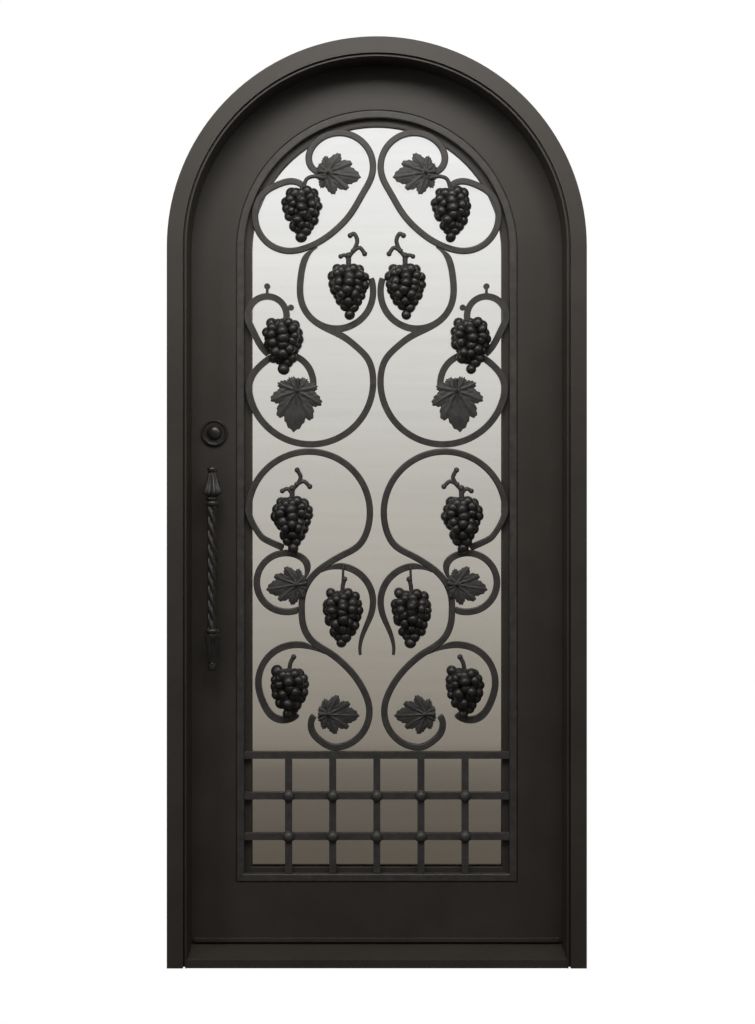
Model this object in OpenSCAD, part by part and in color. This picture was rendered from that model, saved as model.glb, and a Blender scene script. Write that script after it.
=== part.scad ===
// Arched wrought iron entry door in its frame: one inswing leaf with a grapevine grille over glass.
// Millimetres. X to the right seen from outside, -Y towards the outside, +Z up.
// The origin is the centre of the underside of the sill.

/* [Frame] */
// Overall width over the jambs
frame_w = 940; // [800:5:1200]
// Overall height from the underside of the sill to the crown
frame_h = 2086; // [1900:2:2500]
// Depth of the jambs, front to back
frame_d = 150; // [140:5:220]
// Width of the flat face round the outside
face_w = 36; // [34:1:60]
// Width of the groove between the face and the inner lip
groove_w = 5; // [3:1:8]
// Depth of that groove
groove_d = 10; // [4:1:20]
// Width of the lip inside the groove
lip_w = 3; // [2:1:8]
// Depth of the reveal in front of the door stop
reveal_d = 95; // [70:5:100]
// Thickness of the jamb beside the leaf
rebate_w = 26; // [20:1:30]
// Height of the sill
sill_h = 20; // [15:1:40]

/* [Leaf] */
// Thickness of the leaf
leaf_t = 50; // [44:1:50]
// Gap between the leaf's edge and the jamb
leaf_gap = 8; // [7:1:10]
// Gap between the leaf's face and the stop
stop_gap = 5; // [4:1:8]
// Gap between the leaf and the sill
sill_gap = 6; // [5:1:12]
// Thickness of each sheet steel skin
skin_t = 3; // [2:0.5:4]
// Half of the window opening's width, also its arch radius
window_r = 323; // [270:1:325]
// Height of the window opening's bottom over the sill's underside
window_z = 164; // [120:1:260]
// Height of the drip bar along the leaf's foot
drip_h = 10; // [6:1:30]
// How far the drip bar stands out of the leaf
drip_d = 6; // [3:1:12]

/* [Grille] */
// Width of the bar round the grille
surround_w = 18; // [12:1:30]
// Depth of that bar
surround_d = 16; // [12:1:18]
// Width of the scroll bars
bar_w = 15; // [10:1:18]
// Depth of the scroll and lattice bars
bar_d = 12; // [8:1:14]
// Width of the lattice bars
lattice_w = 16; // [10:1:20]
// Rise of each of the two lower lattice rows
row_h = 93.5; // [70:0.5:110]
// Radius of the balls on the lattice crossings
ball_r = 13.5; // [10:0.5:18]

/* [Glass] */
// Width of the glass frame that shows round the pane
glass_rim = 16; // [8:1:24]
// Thickness of the sealed double pane
pane_t = 14; // [6:1:16]
// How far the pane sits in its rebate
pane_seat = 11; // [8:1:14]

/* [Hardware] */
// Distance of the lock and the pull from the leaf's latch edge
lock_inset = 62.5; // [50:0.5:80]
// Height of the deadbolt over the sill's underside
bolt_z = 1197; // [1000:1:1300]
// Height of the middle of the pull handle's grip
pull_z = 893; // [800:1:1000]
// Length of the grip between its two collars
grip_l = 280; // [150:5:320]
// Radius of the grip
grip_r = 12; // [8:0.5:16]
// How far the grip's axis stands off the leaf
pull_out = 48; // [40:1:60]
// Radius of the hinge pins
pin_r = 5; // [4:0.5:6]
// Radius of the hinge knuckles
knuckle_r = 8; // [7:0.5:10]
// Length of each hinge knuckle
knuckle_l = 50; // [40:1:70]

/* [Hidden] */
$fn = 96;

// A seat clearance between pieces that are fitted or welded in place
fit = 0.3;
// Radial running clearance of a hinge pin
pin_play = 0.05;

paint = "#3a332e";
iron = "#2b2826";
rubber = "#161616";
pane = [0.75, 0.78, 0.78, 0.35];
steel = "#6d6a66";

// Frame
frame_r = frame_w / 2;
spring_z = frame_h - frame_r;
front_y = -frame_d / 2;
back_y = frame_d / 2;
stop_y = front_y + reveal_d;
rebate_r = frame_r - rebate_w;
reveal_r = frame_r - face_w - groove_w - lip_w;
seal_w = 7;
anchor_r = 4;
anchor_z = [500, 1300];

// Leaf
leaf_r = rebate_r - leaf_gap;
leaf_z = sill_h + sill_gap;
leaf_y = stop_y + stop_gap;
leaf_back = leaf_y + leaf_t;
core_y = leaf_y + skin_t;
core_back = leaf_back - skin_t;
joint_line = 1.5;
drip_inset = 6;

// Hinges
hinge_z = [300, 950, 1540];
hinge_x = leaf_r + leaf_gap / 2;
hinge_stand = knuckle_r + 3;
hinge_y = leaf_back + hinge_stand;
plate_t = 4;
plate_w = 26;

// Grille
bar_y = leaf_y - 1;
bar_back = bar_y + bar_d;
surround_y = leaf_y - 3;
surround_r = window_r - fit;
surround_in = window_r - surround_w;
surround_z = window_z + fit;
surround_in_z = window_z + surround_w;
lattice_pitch = 2 * surround_in / 6;
row_z = [for (i = [1:3]) surround_in_z - lattice_w / 2 + i * row_h];
lattice_top = row_z[2] + lattice_w / 2;

// Scroll centrelines on the left half, as stations of [x, z, radius, from, to] for an arc, or
// [x, z, 0, heading] for a point that the bar passes in that direction. Angles in degrees from +X.
meet = bar_w / 2 + fit / 2;
leg_touch = surround_in - bar_w / 2 - fit;
function arch_touch(x, z) = leg_touch - norm([x, z - spring_z]);

crown_r = 78.4;
crown_z = spring_z + 194;
bunch_x = -200;
bunch_z = spring_z + 80;
crown_route = [
  [-128, crown_z + 16, 31, -70, -175],
  [-meet - crown_r, crown_z, crown_r, 145, -34],
  [-77, crown_z - 130, 0, 225],
  [bunch_x, bunch_z, arch_touch(bunch_x, bunch_z), -74, -218],
  [bunch_x + 2, bunch_z + 46, 36, 118, 32]
];

drop_r = 85;
drop_z = spring_z - 95.5;
drop_route = [
  [-112, drop_z + 58, 58, 118, 165],
  [-meet - drop_r, drop_z, drop_r, 178, 382]
];

wide_r = (leg_touch - meet) / 2;
wide_z = spring_z - 302;
middle_route = [
  [-meet - drop_r, drop_z, drop_r, 205, 236],
  [-54, wide_z + 87, 0, -44],
  [-meet - wide_r, wide_z, wide_r, 16, -172],
  [-212, wide_z - 1, 66, 128, -12]
];

side_r = 44.7;
side_z = spring_z - 150;
side_route = [
  [side_r - leg_touch, side_z, side_r, -14, 208],
  [-244, spring_z - 243, 0, -34]
];

waist_r = 141;
waist_z = wide_z - wide_r - bar_w - fit - waist_r;
foot_r = 84;
foot_z = lattice_top + fit + bar_w / 2 + foot_r;
waist_route = [
  [-233, waist_z - 79, 0, 158],
  [waist_r - leg_touch, waist_z, waist_r, 199, -27],
  [-96, waist_z - 107, 0, 214],
  [-73, waist_z - 213, 101, 143, 172],
  [-93, waist_z - 241, 80, 178, 222],
  [-101, waist_z - 328, 0, -38],
  [-100, foot_z, foot_r, 22, -93],
  [-118, foot_z - 33, 35.5, -116, -222]
];

heart_r = 84;
heart_z = waist_z - 206;
heart_route = [
  [-meet - heart_r, heart_z, heart_r, 118, -12],
  [-31, heart_z - 70, 0, 248],
  [-38, heart_z - 122, 0, 282]
];

ring_r = 69;
ring_z = waist_z - 161;
ring_route = [
  [-209, ring_z, ring_r, -56, -318],
  [-181, ring_z + 20, 24, 25, -85]
];

curl_r = 88;
curl_z = foot_z + 67;
foot_route = [
  [-116, curl_z + 72, 0, 155],
  [-186, curl_z, curl_r, 88, 203],
  [-216, curl_z - 47, 41, 222, 322]
];

// Grape bunches on the left half as [x, z, width, height, stem], and vine leaves as
// [x, z, reach, tip angle]
bunches = [
  [-171.5, spring_z + 82, 98, 129, 20], [-65, spring_z - 93, 98, 129, 36],
  [-215, spring_z - 218, 98, 129, 22], [-195, waist_z - 24, 98, 132, 34],
  [-79, waist_z - 241, 98, 137, heart_z + heart_r - (waist_z - 241) - 137 / 2],
  [-201, foot_z + 47, 96, 122, 18]
];
stem_w = 7;
stem_d = 6;
vine_leaves = [
  [-87, crown_z - 16, 49, 0], [-180, wide_z - 54, 62, 265],
  [-209, ring_z - 6, 46, 190], [-88, foot_z - 8, 47, 8]
];
leaf_plate_t = 8;

// Hardware
lock_x = lock_inset - leaf_r;
rose_r = 30;
rose_t = 8;
plug_r = 14;
plate_l = 110;
grip_low = pull_z - grip_l / 2;
grip_top = pull_z + grip_l / 2;
pull_y = leaf_y - pull_out;

// ---- Paths and shapes ----

function turn_of(s) = s[4] > s[3] ? 1 : -1;
function heading_in(s) = s[2] == 0 ? s[3] : s[3] + 90 * turn_of(s);
function heading_out(s) = s[2] == 0 ? s[3] : s[4] + 90 * turn_of(s);
function along(s, a) = [s[0] + s[2] * cos(a), s[1] + s[2] * sin(a)];
function station_start(s) = s[2] == 0 ? [s[0], s[1]] : along(s, s[3]);
function station_end(s) = s[2] == 0 ? [s[0], s[1]] : along(s, s[4]);
function station_points(s) = s[2] == 0 ? [[s[0], s[1]]] :
  let (n = max(2, ceil(abs(s[4] - s[3]) / 7)))
  [for (i = [0:n]) along(s, s[3] + (s[4] - s[3]) * i / n)];

// A cubic curve from p to q that leaves and arrives along the headings hp and hq
function blend_points(p, hp, q, hq) =
  let (pull = 0.37 * norm(q - p),
       a = p + pull * [cos(hp), sin(hp)],
       b = q - pull * [cos(hq), sin(hq)],
       n = max(2, ceil(norm(q - p) / 16)))
  [for (i = [1:n - 1]) let (t = i / n, u = 1 - t)
    u * u * u * p + 3 * u * u * t * a + 3 * u * t * t * b + t * t * t * q];

function route_points(route) = [
  for (i = [0:len(route) - 1]) each concat(
    station_points(route[i]),
    i < len(route) - 1 ?
      blend_points(station_end(route[i]), heading_out(route[i]),
                   station_start(route[i + 1]), heading_in(route[i + 1])) : [])
];

function side_normal(pts, i) =
  let (a = pts[max(i - 1, 0)], b = pts[min(i + 1, len(pts) - 1)], d = (b - a) / norm(b - a))
  [-d[1], d[0]];

// Width along a bar: it may draw out to a thinner tip over its last points
function width_at(i, n, w, tip) =
  let (run = n * 0.3, left = n - 1 - i) left >= run ? w : w * (tip + (1 - tip) * left / run);

// Outline of a bar of width w along a route
module bar_outline(route, w = bar_w, tip = 1) {
  pts = route_points(route);
  n = len(pts);
  left = [for (i = [0:n - 1]) pts[i] + side_normal(pts, i) * width_at(i, n, w, tip) / 2];
  right = [for (i = [n - 1:-1:0]) pts[i] - side_normal(pts, i) * width_at(i, n, w, tip) / 2];
  polygon(concat(left, right));
}

// A flat shape drawn in X and Z, between two depths
module upright(y0, y1) {
  translate([0, y1, 0]) rotate([90, 0, 0]) linear_extrude(y1 - y0) children();
}

module grille_bar() {
  upright(bar_y, bar_back) children();
}

// A block with a half round head, from the height z0 up
module arch_prism(r, z0, y0, y1) {
  translate([-r, y0, z0]) cube([2 * r, y1 - y0, spring_z - z0]);
  translate([0, y1, spring_z]) rotate([90, 0, 0])
    rotate_extrude(angle = 180, $fn = 180) square([r, y1 - y0]);
}

module on_right() {
  mirror([1, 0, 0]) children();
}

// A shape turned about the upright axis at (x, y)
module turned_at(x, y) {
  translate([x, y, 0]) rotate_extrude() children();
}

// ---- Frame ----

// Section of the right jamb in X and Y
frame_section = [
  [frame_r - face_w, front_y], [frame_r, front_y], [frame_r, back_y], [rebate_r, back_y],
  [rebate_r, stop_y], [reveal_r, stop_y], [reveal_r, front_y], [reveal_r + lip_w, front_y],
  [reveal_r + lip_w, front_y + groove_d], [frame_r - face_w, front_y + groove_d]
];

module anchor_holes() {
  for (z = anchor_z)
    translate([rebate_r - 1, (stop_y + back_y) / 2, z]) rotate([0, 90, 0])
      cylinder(r = anchor_r, h = rebate_w + 2);
}

module jamb() {
  difference() {
    linear_extrude(spring_z) polygon(frame_section);
    anchor_holes();
  }
}

strike_t = 2;
strike_w = 30;
strike_l = 95;
bolt_hole = [24, 34];
bolt_hole_d = 18;

module strike_block(depth, w, l) {
  translate([-rebate_r - depth, (core_y + core_back) / 2 - w / 2, bolt_z - l / 2]) cube([depth, w, l]);
}

module frame_jamb_left() color(paint)
  difference() {
    on_right() jamb();
    strike_block(strike_t, strike_w, strike_l);
    strike_block(bolt_hole_d, bolt_hole[0], bolt_hole[1]);
  }

module frame_jamb_right() color(paint) jamb();

module frame_head_arch() color(paint)
  translate([0, 0, spring_z]) rotate([90, 0, 0]) rotate_extrude(angle = 180, $fn = 180)
    polygon([for (p = frame_section) [p[0], -p[1]]]);

module sill_threshold() color(paint) {
  translate([-reveal_r, front_y, 0]) cube([2 * reveal_r, reveal_d, sill_h]);
  translate([-rebate_r, stop_y, 0]) cube([2 * rebate_r, frame_d - reveal_d, sill_h]);
}

module weatherstrip() color(rubber)
  difference() {
    arch_prism(leaf_r - 1, sill_h, stop_y, leaf_y - fit);
    arch_prism(leaf_r - 1 - seal_w, sill_h - 1, stop_y - 1, leaf_y);
  }

module strike_plate() color(steel)
  difference() {
    strike_block(strike_t, strike_w, strike_l);
    translate([-1, 0, 0]) strike_block(strike_t + 2, bolt_hole[0], bolt_hole[1]);
    translate([2, 0, 0]) strike_block(strike_t + 2, bolt_hole[0], bolt_hole[1]);
  }

// ---- Hinges ----

// Knuckle, web and plate of one half, reaching from the axis towards side (1 or -1)
module hinge_half(z, side) {
  reach = leaf_gap / 2 + plate_w;
  translate([hinge_x, hinge_y, z]) cylinder(r = knuckle_r, h = knuckle_l - fit / 2);
  translate([side > 0 ? hinge_x : hinge_x - knuckle_r, leaf_back, z])
    cube([knuckle_r, hinge_stand, knuckle_l - fit / 2]);
  translate([side > 0 ? hinge_x : hinge_x - reach, leaf_back, z])
    cube([side > 0 ? frame_r - hinge_x - 2 : reach, plate_t, knuckle_l - fit / 2]);
}

module hinge_frame(z) color(iron) {
  hinge_half(z - knuckle_l, 1);
  translate([hinge_x, hinge_y, z - knuckle_l]) cylinder(r = pin_r, h = 2 * knuckle_l - 2);
}

module hinge_leaf(z) color(iron)
  difference() {
    hinge_half(z + fit / 2, -1);
    translate([hinge_x, hinge_y, z - 1]) cylinder(r = pin_r + pin_play, h = knuckle_l + 2);
  }

// ---- Leaf ----

module face_plate(x0) {
  translate([x0, (core_y + core_back) / 2 - 13, bolt_z - plate_l / 2]) cube([skin_t, 26, plate_l]);
}

module plug_bore() {
  translate([lock_x, leaf_y - 1, bolt_z]) rotate([-90, 0, 0]) cylinder(r = plug_r + fit, h = leaf_t + 2);
}

module leaf_stile_latch() color(paint)
  difference() {
    translate([-leaf_r, core_y, leaf_z])
      cube([leaf_r - window_r, core_back - core_y, spring_z - leaf_z]);
    face_plate(-leaf_r);
    plug_bore();
  }

module leaf_stile_hinge() color(paint)
  translate([window_r, core_y, leaf_z])
    cube([leaf_r - window_r, core_back - core_y, spring_z - leaf_z]);

module leaf_head_rail() color(paint)
  translate([0, core_back, spring_z]) rotate([90, 0, 0]) rotate_extrude(angle = 180, $fn = 180)
    translate([window_r, 0]) square([leaf_r - window_r, core_back - core_y]);

module leaf_bottom_rail() color(paint)
  translate([-window_r, core_y, leaf_z])
    cube([2 * window_r, core_back - core_y, window_z - leaf_z]);

module leaf_skin(y0) {
  difference() {
    arch_prism(leaf_r, leaf_z, y0, y0 + skin_t);
    arch_prism(window_r + joint_line, window_z - joint_line, y0 - 1, y0 + skin_t + 1);
    plug_bore();
  }
}

module leaf_skin_outside() color(paint) leaf_skin(leaf_y);

module leaf_skin_inside() color(paint) leaf_skin(core_back);

module drip_bar() color(paint)
  translate([-reveal_r + drip_inset, leaf_y - drip_d, leaf_z])
    cube([2 * (reveal_r - drip_inset), drip_d, drip_h]);

// ---- Glass ----

pane_y = surround_y + surround_d + 8;
pane_back = pane_y + pane_t;
rim_r = surround_in - glass_rim;
rim_z = surround_in_z + pane_seat;
rebate_pane_r = rim_r + pane_seat;
rebate_pane_z = rim_z - pane_seat;
rim_front = surround_y + surround_d + fit;
rim_back = core_back - 2;

module glass_frame() color(paint)
  difference() {
    arch_prism(surround_r, surround_z, rim_front, rim_back);
    arch_prism(rim_r, rim_z, rim_front - 1, rim_back + 1);
    arch_prism(rebate_pane_r, rebate_pane_z, pane_y, rim_back + 1);
  }

module glass_pane() color(pane)
  arch_prism(rebate_pane_r - fit, rebate_pane_z + fit, pane_y + fit, pane_back);

module glazing_bead() color(paint)
  difference() {
    arch_prism(rebate_pane_r - fit, rebate_pane_z + fit, pane_back + fit, rim_back);
    arch_prism(rim_r, rim_z, pane_back, rim_back + 1);
  }

// ---- Grille ----

module grille_surround() color(iron)
  difference() {
    arch_prism(surround_r, surround_z, surround_y, surround_y + surround_d);
    arch_prism(surround_in, surround_in_z, surround_y - 1, surround_y + surround_d + 1);
  }

module lattice_grid() color(iron) {
  for (z = row_z)
    translate([-surround_in + fit, bar_y, z - lattice_w / 2])
      cube([2 * (surround_in - fit), bar_d, lattice_w]);
  for (i = [-2:2])
    translate([i * lattice_pitch - lattice_w / 2, bar_y, surround_in_z + fit])
      cube([lattice_w, bar_d, lattice_top - surround_in_z - fit]);
  for (i = [-2:2], j = [0:1])
    translate([i * lattice_pitch, bar_y + bar_d / 2, row_z[j]]) sphere(r = ball_r, $fn = 32);
}

module crown_scroll() color(iron)
  grille_bar() bar_outline(crown_route);

// The hanging ring and the long scroll that leaves it are one welded piece
module middle_scroll() color(iron)
  grille_bar() difference() {
    union() {
      bar_outline(drop_route);
      bar_outline(middle_route);
    }
    bar_outline(crown_route, bar_w + 2 * fit);
  }

bud_r = 7;
bud_stem = 6;

module side_scroll() color(iron)
  grille_bar() {
    difference() {
      bar_outline(side_route);
      bar_outline(middle_route, bar_w + 2 * fit);
    }
    translate([side_r - leg_touch - bud_stem / 2, side_z + side_r]) square([bud_stem, 22]);
    translate([side_r - leg_touch, side_z + side_r + 23]) circle(r = bud_r, $fn = 24);
    translate([2 * side_r - leg_touch, side_z + 16]) square([10, bud_stem]);
    translate([2 * side_r - leg_touch + 10, side_z + 19]) circle(r = bud_r, $fn = 24);
  }

module waist_scroll() color(iron)
  grille_bar() bar_outline(waist_route);

module heart_scroll() color(iron)
  grille_bar() difference() {
    bar_outline(heart_route, tip = 0.45);
    bar_outline(waist_route, bar_w + 2 * fit);
  }

module ring_scroll() color(iron)
  grille_bar() difference() {
    bar_outline(ring_route);
    bar_outline(waist_route, bar_w + 2 * fit);
  }

module foot_scroll() color(iron)
  grille_bar() difference() {
    bar_outline(foot_route);
    bar_outline(waist_route, bar_w + 2 * fit);
  }

// Half of a tapering bunch, its flat back on the front of the bars
module bunch(b) {
  half_w = b[2] / 2;
  half_h = b[3] / 2;
  intersection() {
    translate([b[0], bar_y, b[1]]) rotate_extrude($fn = 32)
      polygon([
        [0, half_h], [half_w * 0.5, half_h * 0.92], [half_w * 0.95, half_h * 0.5],
        [half_w * 0.98, half_h * 0.1], [half_w * 0.62, -half_h * 0.45],
        [half_w * 0.25, -half_h * 0.95], [0, -half_h]
      ]);
    translate([b[0] - half_w, bar_y - half_w, b[1] - half_h]) cube([b[2], half_w, b[3]]);
  }
  translate([b[0] - stem_w / 2, bar_y - stem_d, b[1] + half_h - 4]) cube([stem_w, stem_d, b[4] + 4]);
}

module grapes() color(iron)
  for (b = bunches) bunch(b);

// Five lobes round a centre, the longest along the tip, and a stem behind
function lobe(a) = 0.66 + 0.34 * pow(abs(cos(a * 2.5)), 0.7) * (1 - 0.18 * abs(sin(a / 2)));
module leaf_outline(reach) {
  polygon([for (a = [-165:6:165]) reach * lobe(a) * [cos(a), sin(a)]]);
  translate([-reach * 1.25, -4]) square([reach * 0.8, 8]);
}

module vine_leaf_set() color(iron)
  for (v = vine_leaves)
    upright(bar_y - leaf_plate_t, bar_y) translate([v[0], v[1]]) rotate(v[3]) leaf_outline(v[2]);

// ---- Hardware ----

// A disc shape turned about the lock's axis, from the outside face inward
module lock_turned(y) {
  translate([lock_x, y, bolt_z]) rotate([-90, 0, 0]) rotate_extrude() children();
}

module deadbolt_rosette() color(iron)
  lock_turned(leaf_y - rose_t) polygon([
    [plug_r + 3, 3], [rose_r - 6, 3], [rose_r - 4, 0], [rose_r - 1, 0], [rose_r, 2], [rose_r, rose_t],
    [plug_r + 3, rose_t]
  ]);

module deadbolt_cylinder() color(iron)
  lock_turned(leaf_y - rose_t - 7) polygon([
    [0, 0], [8, 0.8], [13, 3.5], [plug_r + 2.7, 8], [plug_r + 2.7, rose_t + 6.7],
    [plug_r, rose_t + 7], [plug_r, rose_t + 7 + leaf_t], [0, rose_t + 7 + leaf_t]
  ]);

module deadbolt_thumb_turn() color(iron) {
  lock_turned(leaf_back) polygon([[0, 0], [rose_r, 0], [rose_r, 5], [rose_r - 4, rose_t], [0, rose_t]]);
  translate([lock_x - 4, leaf_back + rose_t - 1, bolt_z - 19]) cube([8, 19, 38]);
}

module deadbolt_faceplate() color(steel) face_plate(-leaf_r);

// The bell over the grip: it flares to its rim and closes in a cap
module pull_top() {
  turned_at(lock_x, pull_y) polygon([
    [0, grip_top], [15, grip_top], [15, grip_top + 10], [11, grip_top + 13], [17, grip_top + 20],
    [21, grip_top + 27], [20, grip_top + 34], [12, grip_top + 62], [12, grip_top + 66],
    [14, grip_top + 70], [14, grip_top + 80], [9, grip_top + 89], [0, grip_top + 90]
  ]);
  translate([lock_x, pull_y, grip_top + 48]) rotate([-90, 0, 0]) cylinder(r = 8, h = pull_out);
  translate([lock_x, leaf_y - 5, grip_top + 48]) rotate([-90, 0, 0]) cylinder(r = 15, h = 5);
}

module pull_bottom() {
  turned_at(lock_x, pull_y) polygon([
    [0, grip_low - 95], [7, grip_low - 95], [9, grip_low - 91], [9, grip_low - 84],
    [13, grip_low - 40], [16, grip_low - 16], [14, grip_low - 13], [15, grip_low - 10],
    [15, grip_low], [0, grip_low]
  ]);
  translate([lock_x, pull_y, grip_low - 50]) rotate([-90, 0, 0]) cylinder(r = 8, h = pull_out);
  translate([lock_x, leaf_y - 5, grip_low - 50]) rotate([-90, 0, 0]) cylinder(r = 15, h = 5);
}

module grip() {
  translate([lock_x, pull_y, grip_low]) cylinder(r = grip_r, h = grip_l);
}

module pull_top_mount() color(iron) pull_top();

module pull_grip() color(iron) grip();

module pull_bottom_mount() color(iron) pull_bottom();

// The same handle on the room side
module pull_handle_inside() color(iron)
  translate([0, leaf_y + leaf_back, 0]) mirror([0, 1, 0]) {
    pull_top();
    grip();
    pull_bottom();
  }

frame_jamb_left();
frame_jamb_right();
frame_head_arch();
sill_threshold();
weatherstrip();
strike_plate();
hinge_frame(hinge_z[0]);  // hinge_frame_low
hinge_frame(hinge_z[1]);  // hinge_frame_mid
hinge_frame(hinge_z[2]);  // hinge_frame_top
hinge_leaf(hinge_z[0]);  // hinge_leaf_low
hinge_leaf(hinge_z[1]);  // hinge_leaf_mid
hinge_leaf(hinge_z[2]);  // hinge_leaf_top
leaf_stile_latch();
leaf_stile_hinge();
leaf_head_rail();
leaf_bottom_rail();
leaf_skin_outside();
leaf_skin_inside();
drip_bar();
glass_frame();
glass_pane();
glazing_bead();
grille_surround();
lattice_grid();
crown_scroll();  // crown_scroll_left
on_right() crown_scroll();  // crown_scroll_right
middle_scroll();  // middle_scroll_left
on_right() middle_scroll();  // middle_scroll_right
side_scroll();  // side_scroll_left
on_right() side_scroll();  // side_scroll_right
waist_scroll();  // waist_scroll_left
on_right() waist_scroll();  // waist_scroll_right
heart_scroll();  // heart_scroll_left
on_right() heart_scroll();  // heart_scroll_right
ring_scroll();  // ring_scroll_left
on_right() ring_scroll();  // ring_scroll_right
foot_scroll();  // foot_scroll_left
on_right() foot_scroll();  // foot_scroll_right
grapes();  // grapes_left
on_right() grapes();  // grapes_right
vine_leaf_set();  // vine_leaves_left
on_right() vine_leaf_set();  // vine_leaves_right
deadbolt_rosette();
deadbolt_cylinder();
deadbolt_thumb_turn();
deadbolt_faceplate();
pull_top_mount();
pull_grip();
pull_bottom_mount();
pull_handle_inside();
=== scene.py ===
# Looks for the arched wrought iron door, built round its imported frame. Metres, +Z up, outside towards -Y.
import math
import random

import bmesh
import bpy
from mathutils import Matrix, Vector, noise


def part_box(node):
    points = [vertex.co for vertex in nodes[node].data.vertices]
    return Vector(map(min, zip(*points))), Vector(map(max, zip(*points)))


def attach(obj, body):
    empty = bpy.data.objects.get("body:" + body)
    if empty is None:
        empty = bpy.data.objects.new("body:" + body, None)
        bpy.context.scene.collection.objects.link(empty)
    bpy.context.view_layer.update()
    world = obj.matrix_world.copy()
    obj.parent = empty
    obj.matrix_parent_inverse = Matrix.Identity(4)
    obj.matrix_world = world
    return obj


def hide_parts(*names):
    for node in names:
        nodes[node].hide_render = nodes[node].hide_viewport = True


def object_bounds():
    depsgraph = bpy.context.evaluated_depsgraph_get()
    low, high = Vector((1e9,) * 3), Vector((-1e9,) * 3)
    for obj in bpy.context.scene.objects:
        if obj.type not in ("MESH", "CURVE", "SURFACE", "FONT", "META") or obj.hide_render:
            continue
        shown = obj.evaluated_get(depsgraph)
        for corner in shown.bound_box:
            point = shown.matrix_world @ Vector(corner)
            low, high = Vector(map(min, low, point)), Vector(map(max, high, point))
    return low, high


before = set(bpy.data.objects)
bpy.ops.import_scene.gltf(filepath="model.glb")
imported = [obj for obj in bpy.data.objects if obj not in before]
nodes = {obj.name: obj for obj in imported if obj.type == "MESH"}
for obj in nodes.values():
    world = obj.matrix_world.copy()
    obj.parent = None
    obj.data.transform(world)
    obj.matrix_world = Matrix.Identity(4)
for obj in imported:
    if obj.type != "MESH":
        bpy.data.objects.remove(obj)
cadBox = [list(v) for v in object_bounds()]
sides = {"left": 1, "right": -1}
print("stage: frame loaded")


# Camera, set where a person stands to look at the door
viewSettings = {
    "eyeDistance": 3.5,       # metres in front of the frame's face
    "eyeHeight": 1.27,
    "frameHeight": 2.291,     # what the picture's height takes in, at the frame's face
    "centreHeight": 1.0215,
    "offCentre": 0.0009,      # sideways, as a share of the picture's width
}


# Lamps and backdrop
studio = {
    "floor": (0.10, 0.10, 0.10),    # the colour that lights the door from below
    "floorSeen": 0.997,   # share of white that a look at the floor meets
    "sky": 0.15,          # strength of the even light from all round
    "lamps": {
        # name: (place, target, size, watts, colour)
        "topBox": ((0, -1.85, 3.0), (0, 0, 1.6), (2.0, 0.8), 46, (1, 0.985, 0.96)),
        "leftBox": ((-2.4, -2.4, 2.5), (0, 0, 1.6), (0.8, 1.4), 18, (1, 1, 1)),
        "rightBox": ((2.4, -2.4, 2.5), (0, 0, 1.6), (0.8, 1.4), 11, (1, 1, 1)),
        "backBox": ((0.6, 3.0, 2.8), (0, 0, 1.1), (2.4, 2.0), 90, (1, 1, 1)),
    },
}


def makeCamera(s):
    faceY = cadBox[0][1]
    aspect = 755 / 1024
    camera = bpy.data.cameras.new("camera")
    camera.sensor_fit = "VERTICAL"
    camera.sensor_height = 36
    camera.lens = 36 * s["eyeDistance"] / s["frameHeight"]
    camera.shift_y = (s["centreHeight"] - s["eyeHeight"]) / s["frameHeight"]
    camera.clip_end = 60
    o = bpy.data.objects.new("camera", camera)
    bpy.context.scene.collection.objects.link(o)
    o.location = (s["frameHeight"] * aspect * s["offCentre"], faceY - s["eyeDistance"], s["eyeHeight"])
    o.rotation_euler = (math.pi / 2, 0, 0)
    bpy.context.scene.camera = o


def areaLamp(name, place, target, size, watts, colour=(1, 1, 1)):
    lamp = bpy.data.lights.new(name, "AREA")
    lamp.shape = "RECTANGLE"
    lamp.size, lamp.size_y = size
    lamp.energy = watts
    lamp.color = colour
    o = bpy.data.objects.new(name, lamp)
    bpy.context.scene.collection.objects.link(o)
    o.visible_camera = False
    o.visible_transmission = False
    o.location = place
    o.rotation_euler = (Vector(target) - Vector(place)).to_track_quat("-Z", "Y").to_euler()


# White where the camera, a mirror or glass looks, and its own plain colour for the light it gives
def backdropMaterial(name, colour, seen):
    m = bpy.data.materials.new(name)
    m.use_nodes = True
    t = m.node_tree
    bsdf = t.nodes["Principled BSDF"]
    bsdf.inputs["Base Color"].default_value = (*colour, 1)
    bsdf.inputs["Roughness"].default_value = 0.9
    path = t.nodes.new("ShaderNodeLightPath")
    glow = t.nodes.new("ShaderNodeEmission")
    glow.inputs["Color"].default_value = (1, 1, 1, 1)
    mix = t.nodes.new("ShaderNodeMixShader")
    looked = t.nodes.new("ShaderNodeMath")
    looked.operation = "MAXIMUM"
    t.links.new(path.outputs["Is Camera Ray"], looked.inputs[0])
    t.links.new(path.outputs["Is Transmission Ray"], looked.inputs[1])
    share = t.nodes.new("ShaderNodeMath")
    share.operation = "MULTIPLY"
    share.inputs[1].default_value = seen
    t.links.new(looked.outputs[0], share.inputs[0])
    t.links.new(share.outputs[0], mix.inputs[0])
    t.links.new(bsdf.outputs[0], mix.inputs[1])
    t.links.new(glow.outputs[0], mix.inputs[2])
    t.links.new(mix.outputs[0], t.nodes["Material Output"].inputs["Surface"])
    return m


def makeFloor():
    bm = bmesh.new()
    bmesh.ops.create_grid(bm, x_segments=1, y_segments=1, size=12)
    bmesh.ops.translate(bm, verts=bm.verts, vec=(0, 0, -0.0015))
    floor = meshObject("studioFloor", bm)
    floor.data.materials.append(backdropMaterial("studioFloor", studio["floor"], studio["floorSeen"]))


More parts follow.
